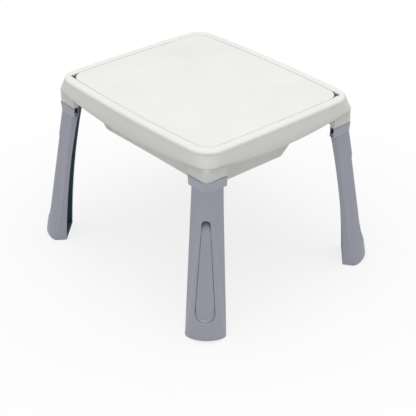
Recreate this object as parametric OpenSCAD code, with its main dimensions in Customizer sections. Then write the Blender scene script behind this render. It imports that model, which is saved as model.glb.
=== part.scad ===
// Children's table with a storage tub under a lift-off lid.
// Origin on the floor below the middle of the top, +Z up, long side along X, front towards -Y.

/* [Table top] */
// Height of the top above the floor
table_h = 440; // [380:1:520]
// Length of the lid
lid_w = 494; // [440:1:560]
// Depth of the lid
lid_d = 403; // [350:1:470]
// Corner radius of the lid
lid_r = 34; // [24:1:45]
// How far the long sides swell outward in the middle
bow_long = 9; // [0:0.5:14]
// How far the short sides swell outward in the middle
bow_short = 3; // [0:0.5:8]

/* [Lid] */
// Thickness of the lid's top skin
lid_skin = 2.6; // [2:0.1:5]
// Height of the lid's edge wall
lid_edge_h = 14; // [10:0.5:20]
// Thickness of the lid's edge wall
lid_wall = 3; // [2:0.1:4]
// Thickness of the ribs under the lid
lid_rib_t = 2.4; // [1.5:0.1:4]
// Height of the ribs below the lid's skin
lid_rib_h = 8; // [4:0.5:9]
// Ribs across the length of the lid
lid_ribs_x = 5; // [1:1:9]
// Ribs across the depth of the lid
lid_ribs_y = 4; // [1:1:7]
// Gap between the lid and the rim
lid_gap = 0.8; // [0.4:0.1:1.5]

/* [Frame] */
// Width of the rim's flat top band
rim_w = 16; // [12:0.5:26]
// Radius of the rim's rounded outer edge
rim_round = 7; // [4:0.5:10]
// Corner radius of the rim's rounded outer edge
rim_r = 46; // [34:1:60]
// Wall thickness of the frame moulding
frame_wall = 3; // [2:0.1:4]
// Height of the skirt at the corners
skirt_h = 33; // [30:1:48]
// How much further the skirt hangs in the middle of a side
skirt_sag = 15; // [6:0.5:18]
// How far the skirt leans outward to its lower edge
skirt_lean = 6; // [0:0.5:8]
// Corner radius of the skirt's lower edge
skirt_low_r = 35; // [24:1:50]
// Width of the ledge that carries the tub and the lid
ledge_w = 12; // [9:0.5:18]
// Depth of the lip below the ledge
ledge_lip_h = 12; // [6:0.5:16]
// How far the finger slots reach out past the lid's edges, at two opposite corners
slot_w = 2.5; // [1.5:0.1:5]
// Corner radius of the finger slots' outer edge
slot_r = 12; // [8:1:20]
// Length of a finger slot along each edge from the corner
slot_l = 30; // [24:1:60]
// Depth of a finger slot at its outer edge, from where it slopes down to the lid's seat
slot_depth = 5; // [4:0.5:8]
// Thickness of the gussets under the rim
gusset_t = 2.4; // [1.5:0.1:4]
// Gussets along each long side
gussets_long = 5; // [2:1:7]
// Gussets along each short side
gussets_short = 3; // [2:1:5]

/* [Leg sockets] */
// How far the sockets' lower ends lie below the top
socket_drop = 67; // [60:1:80]
// Length of each wing of a socket
socket_wing = 59; // [50:1:68]
// Thickness of a socket across its wing
socket_t = 14; // [12:0.5:18]
// Outer corner radius of a socket
socket_r = 12; // [6:0.5:16]
// How far a socket's faces lie inside the skirt's lower edge
socket_set = 6.5; // [4:0.5:12]
// Clearance around a leg's tongue in its socket
tongue_gap = 0.3; // [0.2:0.05:0.6]
// Height of a leg's tongue above its collar
tongue_h = 36; // [30:1:40]
// Headroom above a leg's tongue in its socket
tongue_head = 4; // [1:0.5:8]
// Outer corner radius of a leg's tongue
tongue_r = 20; // [16:1:24]
// Width of a snap barb
barb_w = 16; // [8:1:22]
// Height of a snap barb
barb_h = 8; // [5:0.5:10]
// Height of a snap barb above the collar
barb_z = 20; // [14:1:26]

/* [Legs] */
// Wall thickness of a leg
leg_wall = 3.5; // [2.5:0.1:4.5]
// Height of the collar band at the top of a leg
collar_h = 24; // [16:1:32]
// How far the collar stands proud of the socket
collar_proud = 1.6; // [0.8:0.1:3]
// How far the collar tapers inward to its lower edge
collar_taper = 2; // [0.5:0.1:4]
// Length of each wing of a leg just below the collar
leg_wing = 48; // [40:1:56]
// Corner radius of a leg just below the collar
leg_r = 11; // [8:0.5:20]
// Length of a wing's inward return along the corner's diagonal
leg_side = 14; // [8:1:24]
// How far a leg leans outward along each side of the table
leg_splay = 47; // [20:1:56]
// Width of the foot across the corner's diagonal
foot_w = 94; // [76:1:104]
// Width of the foot at its open inner side
foot_mouth_w = 84; // [70:1:100]
// How much shorter a wing's inward return is halfway down the leg
leg_waist = 7; // [0:0.5:9]
// Straight side of the foot before its round end
foot_side = 25; // [12:1:30]
// Depth of the foot's round end
foot_round = 36; // [30:1:50]
// Radius of the toe between the round end and the floor
toe_r = 17; // [8:1:24]
// Thickness of the sole
sole_t = 3; // [2:0.1:5]

/* [Leg recess] */
// Height of the recess's lower end
recess_z0 = 48; // [30:1:60]
// Height of the recess's upper end
recess_z1 = 288; // [200:1:310]
// Width of the recess at its upper end
recess_w1 = 20; // [12:1:24]
// Width of the recess at its lower end
recess_w0 = 46; // [30:1:50]
// Depth of the recess's flat floor below the leg's corner, at its upper end
recess_d1 = 3.5; // [2:0.1:5]
// Depth of the recess's flat floor below the leg's corner, at its lower end
recess_d0 = 7.5; // [4:0.1:10]

/* [Storage tub] */
// Wall thickness of the tub
tub_wall = 2.2; // [1.8:0.1:4]
// Thickness of the flange that rests on the ledge
tub_flange_t = 3; // [2:0.1:4]
// Depth of the tub below the ledge
tub_depth = 124; // [90:1:150]
// Depth of the shallow tray at the back, below the ledge
tray_depth = 66; // [40:1:72]
// How far the tray's floor falls towards the deep well
tray_fall = 2; // [1:0.5:6]
// Length of the tub's floor
tub_floor_w = 380; // [300:1:400]
// Distance from the tub's middle line to the front edge of its floor
tub_floor_front = 147; // [110:1:155]
// Distance from the tub's middle line to the back edge of its deep floor
tub_floor_back = 77; // [20:1:85]
// Distance from the tub's middle line to the back edge of the tray
tray_back = 164; // [135:1:172]
// How far the step between floor and tray leans back
step_lean = 26; // [10:1:35]
// Corner radius of the tub
tub_r = 7; // [6:0.5:20]
// Clearance around the tub in the ledge and around its flange
tub_gap = 0.6; // [0.4:0.1:1.5]

/* [Hidden] */

CREAM = [0.92, 0.92, 0.90];
GREY = [0.55, 0.56, 0.60];
ARC_STEPS = 8;
BOW_STEPS = 8;
LEG_ARC_STEPS = 12;
LEG_LEVELS = 6;
RECESS_STEPS = 16;
TOE_STEPS = 5;
ROUND_STEPS = 4;
OVER = 1;

seat_z = table_h - lid_edge_h;
ledge_z = seat_z - tub_flange_t;
lip_z = ledge_z - frame_wall - ledge_lip_h;
skirt_z = table_h - skirt_h;
sag_z = skirt_z - skirt_sag;
socket_z = table_h - socket_drop;
edge_margin = rim_w + rim_round;
low_margin = edge_margin + skirt_lean;

// Outer faces of a socket
socket_x = lid_w / 2 + low_margin - socket_set;
socket_y = lid_d / 2 + low_margin - socket_set;
pocket_h = tongue_h + tongue_head;
pocket_t = socket_t - 2 * frame_wall;
tongue_t = pocket_t - 2 * tongue_gap;

// The leg's outer corner just below the collar
leg_x = socket_x + collar_proud - collar_taper;
leg_y = socket_y + collar_proud - collar_taper;
collar_z = socket_z - collar_h;

// ---- outlines -------------------------------------------------------------------------

function lerp(a, b, t) = a + (b - a) * t;

// Corner arcs of a rounded rectangle centred on the origin, one point list, anticlockwise
function rounded_points(hw, hd, r) = [
    for (q = [0:3], k = [0:ARC_STEPS])
        let (a = q * 90 + k * 90 / ARC_STEPS)
        let (sx = (q == 0 || q == 3) ? 1 : -1)
        let (sy = q < 2 ? 1 : -1)
        [sx * (hw - r) + r * cos(a), sy * (hd - r) + r * sin(a)]
];

// Extra points along the straight sides, so that they can swell
function with_sides(p) = [
    for (i = [0:len(p) - 1])
        let (a = p[i])
        let (b = p[(i + 1) % len(p)])
        let (steps = (i % (ARC_STEPS + 1) == ARC_STEPS) ? BOW_STEPS : 1)
        for (k = [0:steps - 1]) lerp(a, b, k / steps)
];

function swell(p, hw, hd) =
    let (u = p[0] / hw)
    let (v = p[1] / hd)
    [p[0] + u * bow_short * (1 - v * v), p[1] + v * bow_long * (1 - u * u)];

// The table's outline, a margin outside (or inside) the lid's edge
function outline(margin, r) =
    let (hw = lid_w / 2 + margin)
    let (hd = lid_d / 2 + margin)
    [for (p = with_sides(rounded_points(hw, hd, r))) swell(p, hw, hd)];

function shift(points, dx, dy) = [for (p = points) [p[0] + dx, p[1] + dy]];

module prism(points, z0, z1) {
    translate([0, 0, z0]) linear_extrude(z1 - z0) polygon(points);
}

// A solid through rings of points, one ring for each height, all anticlockwise
module loft(rings, heights) {
    n = len(rings[0]);
    top = len(rings) - 1;
    points = [for (l = [0:top], p = rings[l]) [p[0], p[1], heights[l]]];
    sides = [
        for (l = [0:top - 1], i = [0:n - 1])
            let (j = (i + 1) % n)
            for (f = [[j, i, i + n], [j, i + n, j + n]]) [for (v = f) v + l * n]
    ];
    floor = [for (i = [0:n - 1]) i];
    ceiling = [for (i = [n - 1:-1:0]) i + top * n];
    polyhedron(points, concat(sides, [floor, ceiling]), convexity = 6);
}

// A plate with one rounded outer corner at (x1, y1)
module corner_plate(x0, y0, x1, y1, r) {
    translate([x0, y0]) square([x1 - r - x0, y1 - y0]);
    translate([x0, y0]) square([x1 - x0, y1 - r - y0]);
    translate([x1 - r, y1 - r]) circle(r, $fn = 48);
}

// Puts what is made for the back right corner at another corner
module at_corner(sx, sy) {
    mirror([sx < 0 ? 1 : 0, 0, 0]) mirror([0, sy < 0 ? 1 : 0, 0]) children();
}

// ---- table frame ----------------------------------------------------------------------

// The solid that the rim and skirt enclose, set in by a wall
module rim_body(inset) {
    angles = [for (k = [ROUND_STEPS:-1:0]) k * 90 / ROUND_STEPS];
    skirt = outline(low_margin - inset, skirt_low_r - inset);
    crown = [
        for (a = angles)
            outline(rim_w - inset + rim_round * sin(a), rim_r - inset - rim_round * (1 - sin(a)))
    ];
    crown_z = [for (a = angles) table_h - inset - rim_round * (1 - cos(a))];
    loft(concat([skirt, skirt], crown), concat([sag_z - inset, skirt_z - inset], crown_z));
}

// Keeps the skirt above its lower edge, which sags along each side
module skirt_limit() {
    reach = lid_w;
    half_long = lid_w / 2 - socket_wing / 4;
    half_short = lid_d / 2 - socket_wing / 4;
    translate([-reach, -reach, skirt_z]) cube([2 * reach, 2 * reach, skirt_h + OVER]);
    rotate([90, 0, 0]) translate([0, 0, -reach]) linear_extrude(2 * reach) sag_shape(half_long);
    rotate([90, 0, 90]) translate([0, 0, -reach]) linear_extrude(2 * reach) sag_shape(half_short);
}

// A circle's segment that hangs below the skirt's corner height
module sag_shape(half) {
    r = (half * half + skirt_sag * skirt_sag) / (2 * skirt_sag);
    intersection() {
        translate([0, skirt_z - skirt_sag + r]) circle(r, $fn = 360);
        translate([-half, skirt_z - skirt_sag - OVER]) square([2 * half, skirt_sag + 2 * OVER]);
    }
}

module ledge_opening() {
    prism(outline(-ledge_w, lid_r - ledge_w), lip_z - OVER, table_h + OVER);
}

// The well that the lid sits in, with finger slots at two opposite corners, grown by `grow`
module lid_well(grow, top) {
    prism(outline(lid_gap + grow, lid_r + lid_gap + grow), ledge_z - grow, top);
    intersection() {
        finger_scoop(grow, top);
        for (s = [-1, 1]) slot_block(s, slot_l + grow, slot_w + 2 * grow);
    }
}

// Slopes from the lid's seat up and outward to the slots' outer edge, then stands upright
module finger_scoop(grow, top) {
    wide = outline(slot_w + grow, slot_r + grow);
    loft(
        [outline(grow, lid_r + grow), wide, wide],
        [seat_z - grow, table_h - slot_depth - grow, top]
    );
}

// A block round a corner of the lid, reaching `along` inward and `out` outward from it
module slot_block(s, along, out) {
    reach = along + out;
    shift_x = s * (lid_w / 2 + bow_short + out - reach / 2);
    shift_y = s * (lid_d / 2 + bow_long + out - reach / 2);
    translate([shift_x, shift_y, table_h]) cube([reach, reach, 4 * lid_edge_h], center = true);
}

module gussets() {
    reach = lid_w;
    for (k = [1:gussets_long]) {
        x = lerp(-lid_w / 2, lid_w / 2, k / (gussets_long + 1));
        translate([x - gusset_t / 2, -reach, lip_z]) cube([gusset_t, 2 * reach, table_h - lip_z]);
    }
    for (k = [1:gussets_short]) {
        y = lerp(-lid_d / 2, lid_d / 2, k / (gussets_short + 1));
        translate([-reach, y - gusset_t / 2, lip_z]) cube([2 * reach, gusset_t, table_h - lip_z]);
    }
}

// The L-shaped plan of a socket, set in from its outer faces by `inset`
module socket_plan(inset, t, r) {
    difference() {
        corner_plate(
            socket_x - socket_wing + inset, socket_y - socket_wing + inset,
            socket_x - inset, socket_y - inset, r
        );
        translate([0, 0]) square([socket_x - inset - t, socket_y - inset - t]);
    }
}

module socket() {
    difference() {
        intersection() {
            translate([0, 0, socket_z]) linear_extrude(table_h - frame_wall - socket_z)
                socket_plan(0, socket_t, socket_r);
            union() {
                rim_body(frame_wall / 2);
                translate([0, 0, socket_z]) cube([lid_w, lid_d, skirt_z - socket_z]);
            }
        }
        translate([0, 0, socket_z - OVER]) linear_extrude(pocket_h + OVER)
            socket_plan(frame_wall, pocket_t, tongue_r + tongue_gap);
        snap_windows();
    }
}

// Windows through the socket's inner walls that the leg's barbs catch in
module snap_windows() {
    gap = 2 * tongue_gap;
    mid = socket_wing / 2;
    x1 = socket_x - frame_wall - pocket_t / 2;
    y1 = socket_y - frame_wall - pocket_t / 2;
    z0 = socket_z + barb_z - tongue_gap;
    translate([socket_x - mid - barb_w / 2 - gap, socket_y - socket_t - OVER, z0])
        cube([barb_w + 2 * gap, y1 - socket_y + socket_t + OVER, barb_h + 2 * gap]);
    translate([socket_x - socket_t - OVER, socket_y - mid - barb_w / 2 - gap, z0])
        cube([x1 - socket_x + socket_t + OVER, barb_w + 2 * gap, barb_h + 2 * gap]);
}

module table_frame() {
    color(CREAM) difference() {
        union() {
            intersection() {
                difference() {
                    rim_body(0);
                    rim_body(frame_wall);
                }
                skirt_limit();
            }
            lid_well(frame_wall, table_h - OVER);
            prism(outline(frame_wall - ledge_w, lid_r + frame_wall - ledge_w), lip_z, ledge_z);
            intersection() {
                gussets();
                rim_body(frame_wall / 2);
            }
            for (sx = [-1, 1], sy = [-1, 1]) at_corner(sx, sy) socket();
        }
        ledge_opening();
        lid_well(0, table_h + OVER);
    }
}

// ---- lid ------------------------------------------------------------------------------

// Plan of the lid, set in by a wall
module lid_plan(inset) {
    polygon(outline(-inset, lid_r - inset));
}

module lid() {
    color(CREAM) union() {
        difference() {
            translate([0, 0, seat_z]) linear_extrude(lid_edge_h) lid_plan(0);
            translate([0, 0, seat_z - OVER]) linear_extrude(lid_edge_h - lid_skin + OVER) lid_plan(lid_wall);
        }
        intersection() {
            translate([0, 0, seat_z]) linear_extrude(lid_edge_h - OVER) lid_plan(lid_wall / 2);
            lid_ribs();
        }
    }
}

module lid_ribs() {
    z0 = table_h - lid_skin - lid_rib_h;
    for (k = [1:lid_ribs_x]) {
        x = lerp(-lid_w / 2, lid_w / 2, k / (lid_ribs_x + 1));
        translate([x - lid_rib_t / 2, -lid_d, z0]) cube([lid_rib_t, 2 * lid_d, lid_rib_h + OVER]);
    }
    for (k = [1:lid_ribs_y]) {
        y = lerp(-lid_d / 2, lid_d / 2, k / (lid_ribs_y + 1));
        translate([-lid_w, y - lid_rib_t / 2, z0]) cube([2 * lid_w, lid_rib_t, lid_rib_h + OVER]);
    }
}

// ---- storage tub ----------------------------------------------------------------------

tub_z = ledge_z - tub_depth;
tub_top_x = lid_w / 2 - ledge_w - tub_gap;
tub_top_y = lid_d / 2 - ledge_w - tub_gap;

// Rounded rectangle between two depths, centred in X, with as many points as an outline
function tub_plan(hw, y0, y1, r) =
    shift(with_sides(rounded_points(hw, (y1 - y0) / 2, r)), 0, (y0 + y1) / 2);

// The tub's plan at a depth below the ledge, set in by a wall
function tub_ring(depth, back, inset) =
    let (t = depth / tub_depth)
    let (hw = lerp(tub_top_x, tub_floor_w / 2, t) - inset)
    tub_plan(hw, inset - lerp(tub_top_y, tub_floor_front, t), back - inset, tub_r - inset);

// The tub's outer form, or its hollow when set in by a wall: a shallow tray that the whole
// opening leads into, and a deep well at the front
module tub_form(inset, top) {
    step_depth = tray_depth + tray_fall;
    loft(
        [
            tub_ring(tub_depth, tub_floor_back, inset),
            tub_ring(step_depth, tub_floor_back + step_lean, inset),
            tub_ring(tray_depth, tray_back, inset),
            outline(-ledge_w - tub_gap - inset, lid_r - ledge_w - inset)
        ],
        [tub_z + inset, ledge_z - step_depth + inset, ledge_z - tray_depth + inset, top]
    );
}

module storage_tub() {
    color(CREAM) difference() {
        union() {
            tub_form(0, ledge_z);
            prism(outline(lid_gap - tub_gap, lid_r + lid_gap - tub_gap), ledge_z, seat_z);
        }
        tub_form(tub_wall, seat_z + OVER);
    }
}

// ---- legs -----------------------------------------------------------------------------

diag = [sqrt(0.5), sqrt(0.5)];
across = [-sqrt(0.5), sqrt(0.5)];

// Outer skin just below the collar, from one open edge round the corner to the other
leg_top_path = concat(
    [[leg_x, leg_y - leg_wing] - diag * leg_side, [leg_x, leg_y - leg_wing]],
    [
        for (k = [0:LEG_ARC_STEPS])
            let (a = k * 90 / LEG_ARC_STEPS)
            [leg_x - leg_r + leg_r * cos(a), leg_y - leg_r + leg_r * sin(a)]
    ],
    [[leg_x - leg_wing, leg_y], [leg_x - leg_wing, leg_y] - diag * leg_side]
);

// The foot points along the diagonal; its apex lies on the leg's leaning corner
leg_apex = [leg_x, leg_y] - leg_r * (sqrt(2) - 1) * diag;
foot_apex = leg_apex + [leg_splay, leg_splay];
foot_mouth = foot_apex - (foot_side + foot_round) * diag;

// A point on the foot's straight side, from its open edge (0) to its round end (1)
function foot_side_point(side, t) =
    foot_mouth + diag * foot_side * t + side * across * lerp(foot_mouth_w, foot_w, t) / 2;

// Outer skin at the foot, its round end shortened by `cut` where the toe curves in
function foot_path(cut) = concat(
    [foot_side_point(-1, 0), foot_side_point(-1, 0.9)],
    [
        for (k = [0:LEG_ARC_STEPS])
            let (a = k * 180 / LEG_ARC_STEPS)
            foot_mouth + diag * (foot_side + (foot_round - cut) * sin(a)) - across * (foot_w / 2) * cos(a)
    ],
    [foot_side_point(1, 0.9), foot_side_point(1, 0)]
);

// Heights of the leg's sections: round the toe, then up to the collar and through it
leg_heights = concat(
    [for (k = [0:TOE_STEPS - 1]) toe_r * (1 - cos(k * 90 / TOE_STEPS))],
    [for (k = [0:LEG_LEVELS]) lerp(toe_r, collar_z, k / LEG_LEVELS)],
    [socket_z - OVER]
);

function toe_cut(z) = z >= toe_r ? 0 : toe_r - sqrt(toe_r * toe_r - (toe_r - z) * (toe_r - z));

function leg_path(z) =
    let (foot = foot_path(toe_cut(z)))
    let (t = min(z / collar_z, 1))
    let (waist = 4 * t * (1 - t) * leg_waist * diag)
    let (last = len(foot) - 1)
    [for (i = [0:last]) lerp(foot[i], leg_top_path[i], t) + (i == 0 || i == last ? waist : [0, 0])];

// A path moved inward by d, square to itself
function lining(path, d) = [
    for (i = [0:len(path) - 1])
        let (a = path[max(i - 1, 0)])
        let (b = path[min(i + 1, len(path) - 1)])
        let (t = (b - a) / norm(b - a))
        path[i] + d * [-t[1], t[0]]
];

module leg_solid() {
    loft([for (z = leg_heights) leg_path(z)], leg_heights);
}

// The leg's inside, which opens towards the middle of the table
module leg_hollow() {
    heights = concat([sole_t], [for (z = leg_heights) if (z > sole_t + OVER) z + OVER]);
    rings = [
        for (z = heights)
            let (inner = lining(leg_path(z), leg_wall))
            concat([inner[0] - leg_wall * diag], inner, [inner[len(inner) - 1] - leg_wall * diag])
    ];
    difference() {
        loft(rings, heights);
        recess_cut(leg_wall);
    }
}

// Where the recess's flat floor lies along the diagonal from leg_apex, at a height
function floor_reach(z) =
    let (t = (z - recess_z0) / (recess_z1 - recess_z0))
    norm(foot_apex - leg_apex) * (1 - z / collar_z) - lerp(recess_d0, recess_d1, t);

// All that lies outward of the recess's floor, when the floor is moved inward by `grow`
module recess_wedge(grow) {
    low = [floor_reach(0) - grow, 0];
    high = [floor_reach(collar_z) - grow, collar_z];
    out = [foot_round, 0];
    translate([leg_apex[0], leg_apex[1], 0]) rotate([90, 0, 45]) translate([0, 0, -foot_w / 2])
        linear_extrude(foot_w) polygon([low, low + out, high + out, high]);
}

function arc_points(centre_y, r, a0, a1) = [
    for (k = [0:RECESS_STEPS])
        let (a = lerp(a0, a1, k / RECESS_STEPS))
        [r * cos(a), centre_y + r * sin(a)]
];

// A long drop shape that the leg's outer face is recessed by, grown by `grow`
module recess_prism(grow) {
    r0 = recess_w0 / 2;
    r1 = recess_w1 / 2;
    span = (recess_z1 - r1) - (recess_z0 + r0);
    lean = asin((r0 - r1) / span);
    low_end = arc_points(0, r0 + grow, 180 - lean, 360 + lean);
    high_end = arc_points(span, r1 + grow, lean, 180 - lean);
    reach = 3 * leg_splay;
    translate([leg_x, leg_y, recess_z0 + r0]) rotate([90, 0, 135]) translate([0, 0, -foot_round])
        linear_extrude(foot_round + reach) polygon(concat(low_end, high_end));
}

module recess_cut(grow) {
    intersection() {
        recess_prism(grow);
        recess_wedge(grow);
    }
}

// Plan of the collar: an L as thick as the socket
module collar_band() {
    inner_x = socket_x - socket_t;
    inner_y = socket_y - socket_t;
    end_x = socket_x - socket_wing;
    end_y = socket_y - socket_wing;
    x1 = socket_x + collar_proud;
    y1 = socket_y + collar_proud;
    intersection() {
        union() {
            translate([end_x, 0, 0]) rotate([90, 0, 90]) linear_extrude(x1 - end_x)
                collar_profile(inner_y, y1);
            translate([0, end_y, 0]) rotate([90, 0, 0]) mirror([0, 0, 1]) linear_extrude(y1 - end_y)
                collar_profile(inner_x, x1);
        }
        translate([0, 0, collar_z - OVER]) linear_extrude(collar_h + 2 * OVER)
            corner_plate(end_x, end_y, x1, y1, socket_r + collar_proud);
    }
}

module collar_profile(inner, outer) {
    polygon([[inner, collar_z], [outer - collar_taper, collar_z], [outer, socket_z], [inner, socket_z]]);
}

// Hollows in the open ends of the collar's wings
module collar_hollows() {
    skin = 2.5;
    depth = socket_wing - leg_wing - collar_taper + collar_proud;
    h = collar_h - 2 * skin;
    t = socket_t - 2 * skin - collar_taper;
    translate([socket_x - socket_wing - OVER, socket_y - socket_t + skin, collar_z + skin])
        cube([depth + OVER, t, h]);
    translate([socket_x - socket_t + skin, socket_y - socket_wing - OVER, collar_z + skin])
        cube([t, depth + OVER, h]);
}

// The tongue that fills the socket's pocket, with a snap barb on each wing's inner face
module tongue() {
    gap = frame_wall + tongue_gap;
    translate([0, 0, socket_z - OVER]) linear_extrude(tongue_h + OVER) socket_plan(gap, tongue_t, tongue_r);
    x_face = socket_x - socket_t + gap;
    y_face = socket_y - socket_t + gap;
    barb_d = frame_wall;
    z0 = socket_z + barb_z;
    shape = [[OVER, 0], [-barb_d, 0], [-barb_d, barb_h / 4], [0, barb_h], [OVER, barb_h]];
    translate([socket_x - socket_wing / 2 - barb_w / 2, y_face, z0]) rotate([90, 0, 90])
        linear_extrude(barb_w) polygon(shape);
    translate([x_face, socket_y - socket_wing / 2 + barb_w / 2, z0]) rotate([90, 0, 0])
        linear_extrude(barb_w) polygon(shape);
}

// A leg, made for the back right corner
module leg() {
    difference() {
        union() {
            difference() {
                leg_solid();
                leg_hollow();
            }
            collar_band();
            tongue();
        }
        recess_cut(0);
        collar_hollows();
    }
}

module leg_front_left() { color(GREY) at_corner(-1, -1) leg(); }
module leg_front_right() { color(GREY) at_corner(1, -1) leg(); }
module leg_back_left() { color(GREY) at_corner(-1, 1) leg(); }
module leg_back_right() { color(GREY) at_corner(1, 1) leg(); }

table_frame();
storage_tub();
lid();
leg_front_left();
leg_front_right();
leg_back_left();
leg_back_right();
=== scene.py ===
import math

import bmesh
import bpy
import numpy as np
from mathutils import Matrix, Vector


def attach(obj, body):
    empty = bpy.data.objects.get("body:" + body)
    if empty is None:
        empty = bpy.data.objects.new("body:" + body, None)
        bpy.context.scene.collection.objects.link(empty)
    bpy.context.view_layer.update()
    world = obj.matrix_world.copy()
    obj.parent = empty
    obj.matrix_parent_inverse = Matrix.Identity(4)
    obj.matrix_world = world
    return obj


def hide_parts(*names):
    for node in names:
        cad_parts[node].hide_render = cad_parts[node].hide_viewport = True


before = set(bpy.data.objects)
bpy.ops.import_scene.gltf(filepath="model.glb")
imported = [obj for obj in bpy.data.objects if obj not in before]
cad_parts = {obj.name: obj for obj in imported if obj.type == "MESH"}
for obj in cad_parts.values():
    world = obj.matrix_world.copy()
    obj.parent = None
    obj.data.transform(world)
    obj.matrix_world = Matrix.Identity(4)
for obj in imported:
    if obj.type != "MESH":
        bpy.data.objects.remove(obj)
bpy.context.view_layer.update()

MM = 0.001

# ---- sizes ------------------------------------------------------------------------------------

TABLE_H, LID_W, LID_D, LID_R = 440, 494, 403, 34
BOW_LONG, BOW_SHORT = 9, 3
LID_SKIN, LID_EDGE_H, LID_WALL, LID_GAP = 2.6, 14, 3, 0.8
LID_RIB_T, LID_RIB_H, LID_RIBS_X, LID_RIBS_Y = 2.4, 8, 5, 4
LID_ROUND, LID_LOW_EDGE = 1.5, 0.5

RIM_W, RIM_ROUND, RIM_R = 16, 7, 46
WALL, FRAME_EDGE = 3, 0.9
SKIRT_H, SKIRT_SAG, SKIRT_LEAN, SKIRT_LOW_R = 33, 15, 6, 35
LEDGE_W, LEDGE_LIP_H = 12, 12
SLOT_W, SLOT_R, SLOT_FULL, SLOT_END, SLOT_DEPTH = 2.5, 12, 20, 36, 5
GUSSET_T, GUSSETS_LONG, GUSSETS_SHORT = 2.4, 5, 3
EDGE_MARGIN = RIM_W + RIM_ROUND
LOW_MARGIN = EDGE_MARGIN + SKIRT_LEAN

TUB_WALL, TUB_FLANGE_T, TUB_DEPTH, TRAY_DEPTH, TRAY_FALL = 2.2, 3, 124, 66, 2
TUB_FLOOR_W, TUB_FLOOR_FRONT, TUB_FLOOR_BACK, TRAY_BACK, STEP_LEAN = 380, 147, 77, 164, 26
TUB_R, TUB_GAP, TUB_FILLET, TUB_EDGE = 7, 0.6, 9, 0.6

SEAT_Z = TABLE_H - LID_EDGE_H
LEDGE_Z = SEAT_Z - TUB_FLANGE_T
LIP_Z = LEDGE_Z - WALL - LEDGE_LIP_H
SKIRT_Z = TABLE_H - SKIRT_H

SOCKET_DROP, SOCKET_WING, SOCKET_T, SOCKET_R, SOCKET_SET = 67, 59, 14, 12, 6.5
SOCKET_TOP_R, SOCKET_TOP_IN = 40, 4
TONGUE_GAP, TONGUE_H, TONGUE_HEAD, TONGUE_R = 0.3, 36, 4, 20
BARB_W, BARB_H, BARB_Z = 16, 8, 20
SOCKET_Z = TABLE_H - SOCKET_DROP
SOCKET_X = LID_W / 2 + LOW_MARGIN - SOCKET_SET
SOCKET_Y = LID_D / 2 + LOW_MARGIN - SOCKET_SET

LEG_WALL, COLLAR_H, COLLAR_PROUD, COLLAR_TAPER, COLLAR_SKIN = 3.5, 24, 1.6, 2, 1.5
LEG_WING, LEG_R, LEG_SIDE, LEG_SPLAY, LEG_WAIST = 48, 11, 14, 47, 7
FOOT_W, FOOT_MOUTH_W, FOOT_SIDE, FOOT_ROUND, TOE_R, SOLE_T = 94, 84, 25, 36, 17, 3
COLLAR_Z = SOCKET_Z - COLLAR_H
LEG_X = SOCKET_X + COLLAR_PROUD - COLLAR_TAPER
LEG_Y = SOCKET_Y + COLLAR_PROUD - COLLAR_TAPER
FOOT_EDGE, TOE_SHY = 2, 0.7

RECESS_Z0, RECESS_Z1, RECESS_W0, RECESS_W1, RECESS_D0, RECESS_D1 = 48, 288, 46, 20, 7.5, 3.5
GROOVE_D, GROOVE_LEAD, GROOVE_W_HIGH, GROOVE_W_LOW = 2, 0.9, 1.2, 3.2
BEVEL_W_HIGH, BEVEL_W_LOW = 1.6, 9
SCOOP_D, SCOOP_L = 10, 42

CARVED_EDGE = 0.6           # rounding of the edges of what is carved
HAIR = 0.05                 # keeps two rings apart that would lie on each other
BURY, BURY_TOP = 1, 0.5     # how far plates and ribs reach into the walls around them and above them


# ---- meshes -----------------------------------------------------------------------------------

def lerp(a, b, t):
    return a + (b - a) * t


def smooth(t):
    t = np.clip(t, 0, 1)
    return t * t * (3 - 2 * t)


def ring(plan, z):
    """A plan's points at a height, or at one height for each point."""
    return np.c_[plan, np.broadcast_to(z, len(plan))]


def loft(rings, closed=False):
    """Points and faces of the skin through rings of as many points each.

    Closed, the last ring joins the first. Open, a face shuts each end.
    """
    count, n = len(rings), len(rings[0])
    faces = []
    for k in range(count if closed else count - 1):
        a, b = k * n, (k + 1) % count * n
        faces += [(a + i, a + (i + 1) % n, b + (i + 1) % n, b + i) for i in range(n)]
    if not closed:
        faces += [tuple(range(n)), tuple(range((count - 1) * n, count * n))]
    return np.concatenate(rings), faces


def prism(plan, z0, z1):
    return loft([ring(plan, z0), ring(plan, z1)])


def block(low, high):
    (x0, y0, z0), (x1, y1, z1) = low, high
    return prism(np.array([(x0, y0), (x1, y0), (x1, y1), (x0, y1)]), z0, z1)


def joined(parts):
    """One list of points and one of faces from several."""
    points, faces, base = [], [], 0
    for p, f in parts:
        points.append(p)
        faces += [tuple(i + base for i in face) for face in f]
        base += len(p)
    return np.concatenate(points), faces


def mesh_object(name, part):
    points, faces = part
    mesh = bpy.data.meshes.new(name)
    mesh.from_pydata((np.asarray(points, float) * MM).tolist(), [], faces)
    bm = bmesh.new()
    bm.from_mesh(mesh)
    bmesh.ops.recalc_face_normals(bm, faces=bm.faces)
    bm.to_mesh(mesh)
    bm.free()
    obj = bpy.data.objects.new(name, mesh)
    bpy.context.scene.collection.objects.link(obj)
    return obj


def piece(name, part, material, body, replaces=(), sharp=35):
    """A finished mesh that rides on a body and takes the material it is given."""
    obj = mesh_object(name, part)
    obj.data.shade_smooth()
    obj.data.set_sharp_from_angle(angle=math.radians(sharp))
    obj.data.materials.append(material)
    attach(obj, body)
    if replaces:
        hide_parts(*replaces)
    return obj


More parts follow.
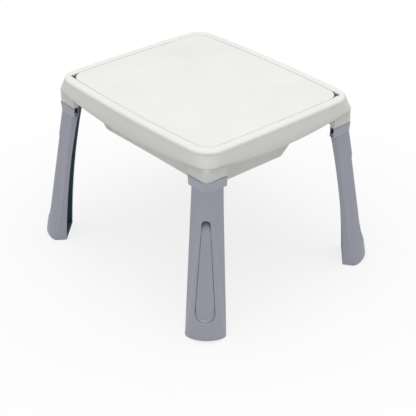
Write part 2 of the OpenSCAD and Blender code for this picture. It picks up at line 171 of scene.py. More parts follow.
def carved(solid, cutters):
    """A solid with other solids cut out of it and its edges rounded."""
    obj = mesh_object("solid", solid)
    tools = [mesh_object("cutter", c) for c in cutters]
    for tool in tools:
        cut = obj.modifiers.new("cut", "BOOLEAN")
        cut.object, cut.operation, cut.solver = tool, "DIFFERENCE", "EXACT"
    edge = obj.modifiers.new("edge", "BEVEL")
    edge.width, edge.segments, edge.limit_method = CARVED_EDGE * MM, 2, "ANGLE"
    edge.angle_limit = math.radians(40)
    bpy.context.view_layer.update()
    result = obj.evaluated_get(bpy.context.evaluated_depsgraph_get()).to_mesh()
    points = np.array([v.co for v in result.vertices]) / MM
    faces = [tuple(f.vertices) for f in result.polygons]
    for o in [obj, *tools]:
        bpy.data.objects.remove(o)
    return points, faces


CORNERS = {"front_left": (-1, -1), "front_right": (1, -1), "back_left": (-1, 1), "back_right": (1, 1)}


def at_corner(part, corner):
    """What is made for the back right corner, at another corner."""
    sx, sy = CORNERS[corner]
    return part[0] * (sx, sy, 1), part[1]


# ---- plans ------------------------------------------------------------------------------------

ARC_STEPS, SIDE_STEPS = 14, 28


def with_corners(half_w, half_d, r):
    """Rounded rectangle with corner arcs and divided sides, anticlockwise."""
    arcs = []
    for q, (sx, sy) in enumerate(((1, 1), (-1, 1), (-1, -1), (1, -1))):
        a = np.radians(np.linspace(90 * q, 90 * q + 90, ARC_STEPS + 1))
        arcs.append(np.array([sx * (half_w - r), sy * (half_d - r)]) + r * np.c_[np.cos(a), np.sin(a)])
    points = []
    for q, arc in enumerate(arcs):
        start, end = arc[-1], arcs[(q + 1) % 4][0]
        points += list(arc) + [lerp(start, end, k / SIDE_STEPS) for k in range(1, SIDE_STEPS)]
    return np.array(points)


def outline(margin, r):
    """The table's outline, a margin outside the lid's edge, with its swelling sides."""
    hw, hd = LID_W / 2 + margin, LID_D / 2 + margin
    p = with_corners(hw, hd, r)
    u, v = p[:, 0] / hw, p[:, 1] / hd
    return p + np.c_[u * BOW_SHORT * (1 - v * v), v * BOW_LONG * (1 - u * u)]


def side_reach(margin, along, long_side):
    """How far out the outline lies on a side, at a place along it."""
    hw, hd = LID_W / 2 + margin, LID_D / 2 + margin
    if long_side:
        return hd + BOW_LONG * (1 - (along / hw) ** 2)
    return hw + BOW_SHORT * (1 - (along / hd) ** 2)


# ---- table frame ------------------------------------------------------------------------------

def slot_share(plan):
    """1 at the two corners with a finger slot, fading to 0 along the edges from them."""
    corner = np.array([LID_W / 2 + BOW_SHORT, LID_D / 2 + BOW_LONG])
    away = [np.abs(corner - s * plan).max(axis=1) for s in (-1, 1)]
    near = np.minimum(*away)
    return 1 - smooth((near - SLOT_FULL) / (SLOT_END - SLOT_FULL))


def well(grow, slots):
    """The well that the lid sits in, grown, and widened where there are finger slots."""
    plain = outline(LID_GAP + grow, LID_R + LID_GAP + grow)
    if not slots:
        return plain
    wide = outline(SLOT_W + grow, SLOT_R + grow)
    return lerp(plain, wide, slot_share(outline(0, LID_R))[:, None])


def skirt_edge(plan):
    """Height of the skirt's lower edge: a circle's segment hangs from each side."""
    drop = np.zeros(len(plan))
    for k, size in enumerate((LID_W, LID_D)):
        half = size / 2 - SOCKET_WING / 4
        r = (half * half + SKIRT_SAG**2) / (2 * SKIRT_SAG)
        x = np.clip(plan[:, k], -half, half)
        other = np.abs(plan[:, 1 - k]) > (LID_D, LID_W)[k] / 2
        drop = np.maximum(drop, (np.sqrt(r * r - x * x) - (r - SKIRT_SAG)) * other)
    return SKIRT_Z - drop


def skirt_plan(z, inset):
    """The skirt at a height for each point: it leans outward down to the socket tops."""
    high = outline(EDGE_MARGIN - inset, RIM_R - inset)
    low = outline(LOW_MARGIN - inset, SKIRT_LOW_R - inset)
    lean = np.clip((TABLE_H - RIM_ROUND - z) / (TABLE_H - RIM_ROUND - SKIRT_Z), 0, 1)
    return lerp(high, low, np.broadcast_to(lean, len(high))[:, None])


def crown(angle, inset):
    """The rim's rounded outer edge, from flat (0) to upright (90 degrees)."""
    out, down = math.sin(angle), 1 - math.cos(angle)
    plan = outline(RIM_W - inset + RIM_ROUND * out, RIM_R - inset - RIM_ROUND * (1 - out))
    return ring(plan, TABLE_H - inset - RIM_ROUND * down)


def frame_shell():
    quarter = np.radians(np.linspace(0, 90, 9))
    scoop_z = lerp(SEAT_Z + HAIR, TABLE_H - SLOT_DEPTH, slot_share(outline(0, LID_R)))
    rings = [
        ring(outline(-LEDGE_W, LID_R - LEDGE_W), LIP_Z),
        ring(outline(-LEDGE_W, LID_R - LEDGE_W), LEDGE_Z - FRAME_EDGE / 2),
        ring(outline(FRAME_EDGE / 2 - LEDGE_W, LID_R - LEDGE_W), LEDGE_Z),
        ring(well(0, False), LEDGE_Z),
        ring(well(0, False), SEAT_Z),
        ring(well(0, True), scoop_z),
        ring(well(0, True), TABLE_H - FRAME_EDGE),
        ring(well(FRAME_EDGE * 0.3, True), TABLE_H - FRAME_EDGE * 0.3),
        ring(well(FRAME_EDGE, True), TABLE_H),
    ]
    rings += [crown(a, 0) for a in quarter]
    low_edge = skirt_edge(skirt_plan(SKIRT_Z, 0))
    top = TABLE_H - RIM_ROUND
    for t in (0.2, 0.4, 0.6, 0.8, 1):
        z = lerp(top, low_edge + WALL / 2, t)
        rings.append(ring(skirt_plan(z, 0), z))
    for a in np.radians((30, 60, 90, 120, 150)):
        z = low_edge + WALL / 2 * (1 - math.sin(a))
        rings.append(ring(skirt_plan(z, WALL / 2 * (1 - math.cos(a))), z))
    for t in (1, 0.75, 0.5, 0.25, 0):
        z = lerp(top - WALL, low_edge + WALL / 2, t)
        rings.append(ring(skirt_plan(z, WALL), z))
    rings += [crown(a, WALL) for a in quarter[::-2]]
    rings += [
        ring(well(WALL, True), TABLE_H - WALL),
        ring(well(WALL, True), scoop_z - WALL),
        ring(well(WALL, False), SEAT_Z - WALL - HAIR),
        ring(well(WALL, False), LEDGE_Z - WALL),
        ring(outline(WALL - LEDGE_W, LID_R + WALL - LEDGE_W), LEDGE_Z - WALL - HAIR),
        ring(outline(WALL - LEDGE_W, LID_R + WALL - LEDGE_W), LIP_Z),
    ]
    return loft(rings, closed=True)


def gusset(along, long_side, sign):
    """A plate under the rim, square to a side, with its edges buried in the walls around it."""
    low_in, low_out = WALL - LEDGE_W - BURY, LOW_MARGIN - WALL + BURY
    bend, under = EDGE_MARGIN - WALL, TABLE_H - WALL + BURY_TOP
    profile = [
        (low_in, LIP_Z), (low_out, LIP_Z), (bend + BURY, TABLE_H - RIM_ROUND - WALL),
        (bend - BURY, TABLE_H - RIM_ROUND + BURY), (RIM_W, under), (WALL, under),
        (WALL, LEDGE_Z - WALL - BURY), (low_in, LEDGE_Z - WALL + BURY),
    ]
    faces = []
    for place in (along - GUSSET_T / 2, along + GUSSET_T / 2):
        corners = [(sign * side_reach(margin, along, long_side), z) for margin, z in profile]
        faces.append([(place, out, z) if long_side else (out, place, z) for out, z in corners])
    return loft(faces)


def gussets():
    parts = []
    for count, size, long_side in ((GUSSETS_LONG, LID_W, True), (GUSSETS_SHORT, LID_D, False)):
        for k in range(1, count + 1):
            along = lerp(-size / 2, size / 2, k / (count + 1))
            parts += [gusset(along, long_side, sign) for sign in (-1, 1)]
    return joined(parts)


def corner_l(ends, outer, inner, r):
    """Plan of an L round the back right corner: its wings' ends, outer faces and inner faces."""
    a = np.radians(np.linspace(0, 90, 13))
    arc = np.array([outer[0] - r, outer[1] - r]) + r * np.c_[np.cos(a), np.sin(a)]
    return np.array([
        (outer[0], ends[1]), *arc, (ends[0], outer[1]),
        (ends[0], inner[1]), (inner[0], inner[1]), (inner[0], ends[1]),
    ])


def socket_l(inset, t, r, out=0):
    """The L of a socket, set in from its own faces."""
    ends = SOCKET_X - SOCKET_WING + inset, SOCKET_Y - SOCKET_WING + inset
    outer = SOCKET_X - inset + out, SOCKET_Y - inset + out
    return corner_l(ends, outer, (SOCKET_X - inset - t, SOCKET_Y - inset - t), r)


def socket():
    solid = loft([
        ring(socket_l(0, SOCKET_T, SOCKET_R), SOCKET_Z),
        ring(socket_l(0, SOCKET_T, SOCKET_R), SKIRT_Z),
        ring(socket_l(0, SOCKET_T, SOCKET_TOP_R, -SOCKET_TOP_IN), TABLE_H - RIM_ROUND),
    ])
    pocket_t = SOCKET_T - 2 * WALL
    pocket = prism(
        socket_l(WALL, pocket_t, TONGUE_R + TONGUE_GAP), SOCKET_Z - 1, SOCKET_Z + TONGUE_H + TONGUE_HEAD
    )
    gap, mid = 2 * TONGUE_GAP, SOCKET_WING / 2
    z0, z1 = SOCKET_Z + BARB_Z - TONGUE_GAP, SOCKET_Z + BARB_Z + BARB_H + TONGUE_GAP
    half, deep = BARB_W / 2 + gap, WALL + pocket_t / 2
    face_x, face_y = SOCKET_X - SOCKET_T, SOCKET_Y - SOCKET_T
    windows = [
        block((SOCKET_X - mid - half, face_y - 1, z0), (SOCKET_X - mid + half, face_y + deep, z1)),
        block((face_x - 1, SOCKET_Y - mid - half, z0), (face_x + deep, SOCKET_Y - mid + half, z1)),
    ]
    return carved(solid, [pocket, *windows])


# ---- lid --------------------------------------------------------------------------------------

def lid_panel():
    under = TABLE_H - LID_SKIN
    rings = [
        ring(outline(-LID_WALL, LID_R - LID_WALL), under),
        ring(outline(-LID_WALL, LID_R - LID_WALL), SEAT_Z + LID_LOW_EDGE),
        ring(outline(LID_LOW_EDGE - LID_WALL, LID_R - LID_WALL + LID_LOW_EDGE), SEAT_Z),
        ring(outline(-LID_LOW_EDGE, LID_R - LID_LOW_EDGE), SEAT_Z),
        ring(outline(0, LID_R), SEAT_Z + LID_LOW_EDGE),
    ]
    for a in np.radians(np.linspace(0, 90, 6)):
        inset, z = LID_ROUND * (1 - math.cos(a)), TABLE_H - LID_ROUND * (1 - math.sin(a))
        rings.append(ring(outline(-inset, LID_R - inset), z))
    parts = [loft(rings)]
    z0, z1, bury = under - LID_RIB_H, under + BURY_TOP, LID_WALL / 2
    for k in range(1, LID_RIBS_X + 1):
        x = lerp(-LID_W / 2, LID_W / 2, k / (LID_RIBS_X + 1))
        y = side_reach(-bury, x, True)
        parts.append(block((x - LID_RIB_T / 2, -y, z0), (x + LID_RIB_T / 2, y, z1)))
    for k in range(1, LID_RIBS_Y + 1):
        y = lerp(-LID_D / 2, LID_D / 2, k / (LID_RIBS_Y + 1))
        x = side_reach(-bury, y, False)
        parts.append(block((-x, y - LID_RIB_T / 2, z0), (x, y + LID_RIB_T / 2, z1)))
    return joined(parts)


# ---- storage tub ------------------------------------------------------------------------------

def tub_ring(depth, back, inset):
    """The tub's plan at a depth below the ledge, set in by a wall."""
    t = depth / TUB_DEPTH
    top_x, top_y = LID_W / 2 - LEDGE_W - TUB_GAP, LID_D / 2 - LEDGE_W - TUB_GAP
    half_w = lerp(top_x, TUB_FLOOR_W / 2, t) - inset
    front, rear = inset - lerp(top_y, TUB_FLOOR_FRONT, t), back - inset
    r = lerp(LID_R - LEDGE_W, TUB_R, smooth(depth / TRAY_DEPTH)) - inset
    return with_corners(half_w, (rear - front) / 2, r) + (0, (front + rear) / 2)


def tub_skin(inset, top):
    """Rings from the tub's mouth down to its floor, with the bends between them rounded."""
    step = TRAY_DEPTH + TRAY_FALL
    floor = ring(tub_ring(TUB_DEPTH, TUB_FLOOR_BACK, inset), LEDGE_Z - TUB_DEPTH + inset)
    centre = floor.mean(axis=0)
    key = [
        ring(outline(-LEDGE_W - TUB_GAP - inset, LID_R - LEDGE_W - inset), top),
        ring(tub_ring(TRAY_DEPTH, TRAY_BACK, inset), LEDGE_Z - TRAY_DEPTH + inset),
        ring(tub_ring(step, TUB_FLOOR_BACK + STEP_LEAN, inset), LEDGE_Z - step + inset),
        floor,
        lerp(floor, centre, 0.25),
    ]
    rings = [key[0]]
    for before, here, after in zip(key, key[1:], key[2:]):
        back_to, on_to = before - here, after - here
        far, near = (np.linalg.norm(v, axis=1)[:, None] for v in (back_to, on_to))
        cut = np.minimum(TUB_FILLET, np.minimum(far, near) * 0.45)
        start, end = here + back_to / far * cut, here + on_to / near * cut
        for t in np.linspace(0, 1, 7):
            rings.append(lerp(lerp(start, here, t), lerp(here, end, t), t))
    return rings


def storage_tub():
    flange, flange_r = LID_GAP - TUB_GAP, LID_R + LID_GAP - TUB_GAP
    outside = tub_skin(0, LEDGE_Z)
    inside = tub_skin(TUB_WALL, SEAT_Z - TUB_EDGE)
    mouth = [
        ring(outline(TUB_EDGE - LEDGE_W - TUB_GAP - TUB_WALL, LID_R - LEDGE_W), SEAT_Z),
        ring(outline(flange - TUB_EDGE, flange_r), SEAT_Z),
        ring(outline(flange, flange_r), SEAT_Z - TUB_EDGE),
        ring(outline(flange, flange_r), LEDGE_Z + HAIR),
    ]
    return loft(inside[::-1] + mouth + outside)


# ---- legs -------------------------------------------------------------------------------------

DIAG = np.array([1, 1]) / math.sqrt(2)
ACROSS = np.array([-1, 1]) / math.sqrt(2)
APEX = np.array([LEG_X, LEG_Y]) - LEG_R * (math.sqrt(2) - 1) * DIAG
SPLAY = LEG_SPLAY * math.sqrt(2)
MOUTH = APEX + SPLAY * DIAG - (FOOT_SIDE + FOOT_ROUND) * DIAG
PATH_STEPS = 96

turn = np.radians(np.linspace(0, 90, PATH_STEPS + 1))
LEG_TOP = np.array([
    np.array([LEG_X, LEG_Y - LEG_WING]) - LEG_SIDE * DIAG, (LEG_X, LEG_Y - LEG_WING),
    *(np.array([LEG_X - LEG_R, LEG_Y - LEG_R]) + LEG_R * np.c_[np.cos(turn), np.sin(turn)]),
    (LEG_X - LEG_WING, LEG_Y), np.array([LEG_X - LEG_WING, LEG_Y]) - LEG_SIDE * DIAG,
])


def foot_path(cut):
    """Outer skin at the foot, its round end shortened where the toe curves in.

    The end stays just inside the CAD's arc, which has fewer and longer chords.
    """
    def side(sign, t):
        return MOUTH + DIAG * FOOT_SIDE * t + sign * ACROSS * lerp(FOOT_MOUTH_W, FOOT_W, t) / 2

    a = 2 * turn[:, None]
    reach = FOOT_ROUND - TOE_SHY - cut
    arc = MOUTH + DIAG * (FOOT_SIDE + reach * np.sin(a)) - ACROSS * FOOT_W / 2 * np.cos(a)
    return np.array([side(-1, 0), side(-1, 0.9), *arc, side(1, 0.9), side(1, 0)])


def leg_path(z):
    """The leg's outer skin at a height, from one open edge round the corner to the other."""
    cut = TOE_R - math.sqrt(TOE_R**2 - (TOE_R - z) ** 2) if z < TOE_R else 0
    t = min(z / COLLAR_Z, 1)
    path = lerp(foot_path(cut), LEG_TOP, t)
    path[[0, -1]] += 4 * t * (1 - t) * LEG_WAIST * DIAG
    return path


def lining(path, d):
    """A path moved inward, square to itself."""
    along = np.gradient(path, axis=0)
    along /= np.linalg.norm(along, axis=1)[:, None]
    return path + d * np.c_[-along[:, 1], along[:, 0]]


# The recess is a long drop: two circles and the tangents between them, seen along the diagonal
DROP_R0, DROP_R1 = RECESS_W0 / 2, RECESS_W1 / 2
DROP_SPAN = (RECESS_Z1 - DROP_R1) - (RECESS_Z0 + DROP_R0)
DROP_SIN = (DROP_R0 - DROP_R1) / DROP_SPAN
DROP_COS = math.sqrt(1 - DROP_SIN**2)


def drop_half(z):
    """Half the width between the drop's straight sides, carried on past its ends."""
    above = z - RECESS_Z0 - DROP_R0
    return (DROP_R0 - above * DROP_SIN) / DROP_COS


def drop_depth(a, z):
    """How far inside the drop's outline a point lies, or outside it where negative."""
    x, y = np.abs(a), z - RECESS_Z0 - DROP_R0
    along = y * DROP_COS - x * DROP_SIN
    side = DROP_R0 - (x * DROP_COS + y * DROP_SIN)
    low = DROP_R0 - np.hypot(x, y)
    high = DROP_R1 - np.hypot(x, y - DROP_SPAN)
    return np.where(along < 0, low, np.where(along > DROP_SPAN * DROP_COS, high, side))


def recess_carve(a, z, surface, grow):
    """How far the recess moves the skin inward, at points that lie across the leg's corner."""
    t = (z - RECESS_Z0) / (RECESS_Z1 - RECESS_Z0)
    floor = SPLAY * (1 - z / COLLAR_Z) - lerp(RECESS_D0, RECESS_D1, t) - grow
    scoop = SCOOP_D * np.clip(1 - (RECESS_Z1 - z) / SCOOP_L, 0, 1) ** 2
    full = np.maximum(surface - floor, 0) + scoop
    inside = drop_depth(a, z) + grow
    low_end = smooth((RECESS_Z0 + 2 * DROP_R0 - z) / DROP_R0)
    bevel = lerp(BEVEL_W_HIGH, BEVEL_W_LOW, low_end)
    groove = lerp(GROOVE_W_HIGH, GROOVE_W_LOW, low_end)
    wall = full * smooth((inside - groove * 0.6) / (bevel - groove * 0.6))
    line = GROOVE_D * smooth(inside / GROOVE_LEAD) * (1 - smooth((inside - groove) / (groove * 0.5)))
    return np.maximum(wall, line)


# the skin's columns, as shares of the drop's half width: close together inside it and beside its edges
DROP_COLUMNS = np.r_[-1.45, -1.32, -1.2, -1.1, -1.04, np.linspace(-1, 1, 45), 1.04, 1.1, 1.2, 1.32, 1.45]
WING_COLUMNS, RETURN_COLUMNS = 9, 4
TOE_ROWS, ROW_MIN = 15, 0.6
ROW_FINE_LOW, ROW_FINE_HIGH, ROW_FOOT, ROW_PLAIN = 1.1, 1.0, 3, 5
FINE_OUTSIDE, FINE_INSIDE = 6, 8
HEAD_OVERLAP = 8


def leg_columns(z, inset, grow):
    """The leg's skin at a height, as columns that run beside the recess's edges."""
    path = leg_path(z) - APEX
    a, d = path[1:-1] @ ACROSS, path[1:-1] @ DIAG
    centre = drop_half(z) * DROP_COLUMNS
    wing = np.linspace(0, 1, WING_COLUMNS + 1)[:-1]
    across = np.r_[lerp(a[0], centre[0], wing), centre, lerp(centre[-1], a[-1], 1 - wing[::-1])]
    deep = np.interp(across, np.maximum.accumulate(a), d)
    points = across[:, None] * ACROSS + deep[:, None] * DIAG
    back = np.linspace(0, 1, RETURN_COLUMNS + 1)[:-1, None]
    points = np.r_[lerp(path[0], path[1], back), points, lerp(path[-1], path[-2], back)[::-1]]
    points = lining(points, inset)
    across = points @ ACROSS
    carve = recess_carve(across, z, points @ DIAG, grow)
    carve[: RETURN_COLUMNS + 2] = carve[-RETURN_COLUMNS - 2:] = 0
    return ring(APEX + points - carve[:, None] * DIAG, z)


def leg_rows():
    """Heights of the skin's rows, close together at the toe and at both ends of the recess."""
    toe = TOE_R * (1 - np.cos(np.radians(np.linspace(0, 90, TOE_ROWS))))
    toe = toe[np.abs(toe - SOLE_T) > ROW_MIN]
    low = RECESS_Z0 - FINE_OUTSIDE, RECESS_Z0 + 2 * DROP_R0 - FINE_INSIDE
    high = RECESS_Z1 - 2 * DROP_R1 - FINE_INSIDE, RECESS_Z1 + FINE_OUTSIDE
    return np.unique(np.r_[
        toe, SOLE_T, np.arange(TOE_R, low[0], ROW_FOOT), np.arange(*low, ROW_FINE_LOW),
        np.arange(low[1], high[0], ROW_PLAIN), np.arange(*high, ROW_FINE_HIGH),
        np.arange(high[1], COLLAR_Z, ROW_PLAIN), COLLAR_Z, COLLAR_Z + HEAD_OVERLAP,
    ].round(3))


def leg_shell():
    """A sheet-like shell, open towards the middle of the table, with a sole."""
    rows = leg_rows()
    outer, inner, sole = [], [], int(np.searchsorted(rows, SOLE_T))
    for z in rows:
        turned = FOOT_EDGE - math.sqrt(FOOT_EDGE**2 - (FOOT_EDGE - z) ** 2) if z < FOOT_EDGE else 0
        outer.append(leg_columns(z, turned, 0))
        if z >= SOLE_T:
            inner.append(leg_columns(z, LEG_WALL, LEG_WALL))
    n = len(outer[0])
    points = np.concatenate(outer + inner)
    faces = []

    def out(k, i):
        return k * n + i

    def inn(k, i):
        return (len(outer) + k - sole) * n + i

    for k in range(len(rows) - 1):
        faces += [(out(k, i), out(k, i + 1), out(k + 1, i + 1), out(k + 1, i)) for i in range(n - 1)]
        if k >= sole:
            faces += [(inn(k, i), inn(k + 1, i), inn(k + 1, i + 1), inn(k, i + 1)) for i in range(n - 1)]
            faces += [(out(k, i), out(k + 1, i), inn(k + 1, i), inn(k, i)) for i in (0, n - 1)]
    top = len(rows) - 1
    faces += [(out(top, i), out(top, i + 1), inn(top, i + 1), inn(top, i)) for i in range(n - 1)]
    faces.append(tuple(out(0, i) for i in range(n)))
    faces.append(tuple(inn(sole, i) for i in range(n)))
    mouth = [out(k, 0) for k in range(sole + 1)] + [inn(sole, 0), inn(sole, n - 1)]
    faces.append(tuple(mouth + [out(k, n - 1) for k in range(sole, -1, -1)]))
    return points, faces


def leg_head():
    """The collar, and the tongue above it with its two snap barbs."""
    ends = SOCKET_X - SOCKET_WING, SOCKET_Y - SOCKET_WING
    face = SOCKET_X - SOCKET_T, SOCKET_Y - SOCKET_T
    near = face[0] + COLLAR_SKIN, face[1] + COLLAR_SKIN
    rings = []
    for z, taper in ((COLLAR_Z, COLLAR_TAPER), (SOCKET_Z, 0)):
        out = COLLAR_PROUD - taper
        rings.append(ring(corner_l(ends, (SOCKET_X + out, SOCKET_Y + out), face, SOCKET_R + out), z))
    deep = SOCKET_WING - LEG_WING - COLLAR_TAPER + COLLAR_PROUD
    t = SOCKET_T - 2 * COLLAR_SKIN - COLLAR_TAPER
    z0, z1 = COLLAR_Z + 1, SOCKET_Z - COLLAR_SKIN
    hollows = [
        block((ends[0] - 1, near[1], z0), (ends[0] + deep, near[1] + t, z1)),
        block((near[0], ends[1] - 1, z0), (near[0] + t, ends[1] + deep, z1)),
    ]
    collar = carved(loft(rings), hollows)
    inset = WALL + TONGUE_GAP
    tongue_t = SOCKET_T - 2 * inset
    tongue = prism(socket_l(inset, tongue_t, TONGUE_R), SOCKET_Z - 1, SOCKET_Z + TONGUE_H)
    barb = [(1, 0), (-WALL, 0), (-WALL, BARB_H / 4), (0, BARB_H), (1, BARB_H)]
    parts = [collar, tongue]
    for k in (0, 1):
        along = (SOCKET_X, SOCKET_Y)[k] - SOCKET_WING / 2
        faces = []
        for place in (along - BARB_W / 2, along + BARB_W / 2):
            corners = [(face[1 - k] + inset + d, SOCKET_Z + BARB_Z + z) for d, z in barb]
            faces.append([(place, out, z) if k == 0 else (out, place, z) for out, z in corners])
        parts.append(loft(faces))
    return joined(parts)


# ---- materials --------------------------------------------------------------------------------

PLASTIC_IOR = 1.46
CLOUD_SCALE, HANDLED_SCALE, WAVE_SCALE, GRAIN_SCALE = 9, 22, 26, 850
CLOUD_DARK, CLOUD_PALE, WORN_PALE, WORN_MAX = 0.975, 1.02, 1.12, 0.9
SHUT_SPAN, SHUT_SAMPLES = 0.35, 12
NOISE_LOW, NOISE_HIGH = 0.3, 0.7
HOLLOW_SHARP, HOLLOW_FLAT = 0.4, 0.49
EDGE_FLAT, EDGE_SHARP, EDGE_SHARE = 0.56, 0.66, 0.25
SMOOTHER, ROUGHER = 0.05, 0.07
GRAIN_STRENGTH, GRAIN_DEPTH, WAVE_STRENGTH, WAVE_DEPTH = 0.22, 0.0002, 0.12, 0.001


def moulded(name, colour, painted_shade, reach, open_at, painted_groove_shade, own, roughness):
    """Moulded plastic: a fine matt grain, faint flow marks, painted shade in crevices, worn edges.

    The colour of painted shade comes in where the surface is shut in, as shade falls there: reach is how
    far the shade looks, in metres, open_at the share of open sky that counts as open, and own keeps it
    to the piece itself. The groove-shade share is how much painted shade the sharp hollows take.
    """
    material = bpy.data.materials.new(name)
    material.use_nodes = True
    nodes, links = material.node_tree.nodes, material.node_tree.links
    shader = nodes["Principled BSDF"]
    shader.inputs["IOR"].default_value = PLASTIC_IOR
    place = nodes.new("ShaderNodeTexCoord").outputs["Object"]

    def noise(scale, detail):
        n = nodes.new("ShaderNodeTexNoise")
        n.inputs["Scale"].default_value, n.inputs["Detail"].default_value = scale, detail
        links.new(place, n.inputs["Vector"])
        return n.outputs["Fac"]

    def ranged(value, low, high, to_low, to_high):
        n = nodes.new("ShaderNodeMapRange")
        for key, v in (("From Min", low), ("From Max", high), ("To Min", to_low), ("To Max", to_high)):
            n.inputs[key].default_value = v
        links.new(value, n.inputs["Value"])
        return n.outputs["Result"]

    def blended(factor, first, second):
        n = nodes.new("ShaderNodeMix")
        n.data_type, n.blend_type = "RGBA", "MIX"
        for socket, v in ((n.inputs["Factor"], factor), (n.inputs["A"], first), (n.inputs["B"], second)):
            if isinstance(v, bpy.types.NodeSocket):
                links.new(v, socket)
            else:
                socket.default_value = v
        return n.outputs["Result"]

    # colour: broad faint clouds, then painted shade where the surface is shut in and in sharp hollows,
    # then pale worn edges
    cloud = ranged(noise(CLOUD_SCALE, 4), NOISE_LOW, NOISE_HIGH, 0, 1)
    dark, pale = (tuple(c * share for c in colour) for share in (CLOUD_DARK, CLOUD_PALE))
    base = blended(cloud, (*dark, 1), (*pale, 1))
    shut = nodes.new("ShaderNodeAmbientOcclusion")
    shut.samples = SHUT_SAMPLES
    shut.inputs["Distance"].default_value = reach
    shut.only_local = own
    shade = ranged(shut.outputs["AO"], open_at - SHUT_SPAN, open_at, 1, 0)
    # painted shade: where the surface is shut in, it turns to the shade colour
    base = blended(shade, base, (*painted_shade, 1))
    bend = nodes.new("ShaderNodeNewGeometry").outputs["Pointiness"]
    # painted shade: sharp hollows and grooves turn towards the shade colour
    base = blended(ranged(bend, HOLLOW_SHARP, HOLLOW_FLAT, painted_groove_shade, 0), base, (*painted_shade, 1))
    worn = tuple(min(c * WORN_PALE, WORN_MAX) for c in colour)
    base = blended(ranged(bend, EDGE_FLAT, EDGE_SHARP, 0, EDGE_SHARE), base, (*worn, 1))
    links.new(base, shader.inputs["Base Color"])

    # finish: handled patches are a little smoother
    low, high = roughness - SMOOTHER, roughness + ROUGHER
    handled = ranged(noise(HANDLED_SCALE, 5), NOISE_LOW, NOISE_HIGH, low, high)
    links.new(handled, shader.inputs["Roughness"])

    # relief: sparked mould texture over very shallow sink waves
    def bump(height, strength, depth):
        n = nodes.new("ShaderNodeBump")
        n.inputs["Strength"].default_value, n.inputs["Distance"].default_value = strength, depth
        links.new(height, n.inputs["Height"])
        return n

    grain = bump(noise(GRAIN_SCALE, 3), GRAIN_STRENGTH, GRAIN_DEPTH)
    waves = bump(noise(WAVE_SCALE, 2), WAVE_STRENGTH, WAVE_DEPTH)
    links.new(waves.outputs["Normal"], grain.inputs["Normal"])
    links.new(grain.outputs["Normal"], shader.inputs["Normal"])
    return material


# cream: painted shade in the lid seam, the finger slots and under the skirt's edge
cream = moulded(
    "cream_plastic", colour=(0.775, 0.78, 0.745), painted_shade=(0.2, 0.205, 0.19),
    reach=0.02, open_at=0.58, painted_groove_shade=0, own=False, roughness=0.5,
)
# grey legs: dark teal painted shade inside the open leg channels and in the recess grooves
grey = moulded(
    "grey_plastic", colour=(0.4, 0.41, 0.485), painted_shade=(0.06, 0.13, 0.16),
    reach=0.1, open_at=0.88, painted_groove_shade=0.75, own=True, roughness=0.45,
)
# collars: a lighter copy of the grey, painted light where the collar catches more light, with painted
# shade along the seam under the socket
collar_grey_painted_light = moulded(
    "grey_plastic_collar_painted_light", colour=(0.47, 0.48, 0.555), painted_shade=(0.03, 0.07, 0.09),
    reach=0.012, open_at=0.85, painted_groove_shade=0, own=False, roughness=0.45,
)

# ---- pieces -----------------------------------------------------------------------------------

piece("frame_shell", frame_shell(), cream, "table_frame", ["table_frame"])
piece("frame_gussets", gussets(), cream, "table_frame")
piece("lid_panel", lid_panel(), cream, "lid", ["lid"])
piece("tub_shell", storage_tub(), cream, "storage_tub", ["storage_tub"])

socket_part, shell_part, head_part = socket(), leg_shell(), leg_head()
for corner in CORNERS:
    piece(f"socket_{corner}", at_corner(socket_part, corner), cream, "table_frame")
    piece(
        f"shell_{corner}", at_corner(shell_part, corner), grey, "table_frame",
        [f"leg_{corner}"],
    )
    piece(f"collar_{corner}", at_corner(head_part, corner), collar_grey_painted_light, "table_frame")

# ---- floor, light and camera ------------------------------------------------------------------

FLOOR_SEEN, FLOOR_BOUNCE, FLOOR_WHITE = 0.9, 0.8, 0.78
FLOOR_HALF, FLOOR_UNDER = 6000, 0.2
FADE_FROM, FADE_TO = 0.35, 0.95
SKY_LIGHT, KEY_WATTS, KEY_SIZE = 0.5, 40, 2.4
KEY_PLACE, KEY_AIM = (0.2, -0.19, 2.7), (0, 0, 0.3)
CAMERA_PLACE, YAW, PITCH = (1.7154, -1.4790, 1.4832), -0.854, 0.547
FOCAL_PX, IMAGE_PX, SENSOR = 1062.45, 416, 36


def seen_rays(tree):
    """1 for rays from the camera or through its reflections and glass, and 0 for light."""
    path = tree.nodes.new("ShaderNodeLightPath")
    total = path.outputs["Is Camera Ray"]
    for name in ("Is Glossy Ray", "Is Transmission Ray"):
        add = tree.nodes.new("ShaderNodeMath")
        add.operation = "MAXIMUM"
        tree.links.new(total, add.inputs[0])
        tree.links.new(path.outputs[name], add.inputs[1])
        total = add.outputs[0]
    return total


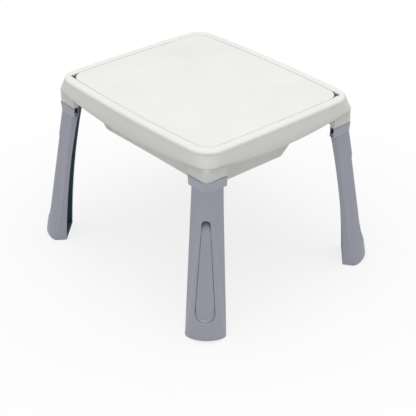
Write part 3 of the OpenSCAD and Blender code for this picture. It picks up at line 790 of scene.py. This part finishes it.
def floor_material():
    material = bpy.data.materials.new("floor")
    material.use_nodes = True
    tree = material.node_tree
    nodes, links = tree.nodes, tree.links
    nodes.remove(nodes["Principled BSDF"])
    diffuse = nodes.new("ShaderNodeBsdfDiffuse")
    tone = nodes.new("ShaderNodeMapRange")
    tone.inputs["To Min"].default_value, tone.inputs["To Max"].default_value = FLOOR_BOUNCE, FLOOR_SEEN
    links.new(seen_rays(tree), tone.inputs["Value"])
    links.new(tone.outputs["Result"], diffuse.inputs["Color"])
    # far from the table the floor turns into the white background
    length = nodes.new("ShaderNodeVectorMath")
    length.operation = "LENGTH"
    links.new(nodes.new("ShaderNodeTexCoord").outputs["Object"], length.inputs[0])
    fade = nodes.new("ShaderNodeMapRange")
    fade.interpolation_type = "SMOOTHSTEP"
    fade.inputs["From Min"].default_value, fade.inputs["From Max"].default_value = FADE_FROM, FADE_TO
    fade.inputs["To Min"].default_value = FLOOR_WHITE
    links.new(length.outputs["Value"], fade.inputs["Value"])
    share = nodes.new("ShaderNodeMath")
    share.operation = "MULTIPLY"
    links.new(fade.outputs["Result"], share.inputs[0])
    links.new(seen_rays(tree), share.inputs[1])
    white = nodes.new("ShaderNodeEmission")
    mix = nodes.new("ShaderNodeMixShader")
    links.new(share.outputs[0], mix.inputs["Fac"])
    links.new(diffuse.outputs[0], mix.inputs[1])
    links.new(white.outputs[0], mix.inputs[2])
    links.new(mix.outputs[0], nodes["Material Output"].inputs["Surface"])
    return material


square = np.array([(-1, -1), (1, -1), (1, 1), (-1, 1)]) * FLOOR_HALF
floor = mesh_object("floor", (ring(square, -FLOOR_UNDER), [(0, 1, 2, 3)]))
floor.data.materials.append(floor_material())

world = bpy.data.worlds.new("studio")
bpy.context.scene.world = world
world.use_nodes = True
sky = world.node_tree.nodes["Background"]
sky.inputs["Color"].default_value = (1, 1, 1, 1)
level = world.node_tree.nodes.new("ShaderNodeMapRange")
level.inputs["To Min"].default_value, level.inputs["To Max"].default_value = SKY_LIGHT, 1
world.node_tree.links.new(seen_rays(world.node_tree), level.inputs["Value"])
world.node_tree.links.new(level.outputs["Result"], sky.inputs["Strength"])

key = bpy.data.objects.new("key", bpy.data.lights.new("key", "AREA"))
bpy.context.scene.collection.objects.link(key)
key.data.shape, key.data.size, key.data.energy = "DISK", KEY_SIZE, KEY_WATTS
key.location = KEY_PLACE
key.rotation_euler = (Vector(KEY_AIM) - key.location).to_track_quat("-Z", "Y").to_euler()

camera = bpy.data.objects.new("camera", bpy.data.cameras.new("camera"))
bpy.context.scene.collection.objects.link(camera)
camera.location = CAMERA_PLACE
look = Vector((math.cos(PITCH) * math.sin(YAW), math.cos(PITCH) * math.cos(YAW), -math.sin(PITCH)))
camera.rotation_euler = look.to_track_quat("-Z", "Y").to_euler()
camera.data.sensor_width = SENSOR
camera.data.lens = FOCAL_PX / IMAGE_PX * SENSOR
bpy.context.scene.camera = camera

bpy.context.scene.view_settings.view_transform = "Standard"
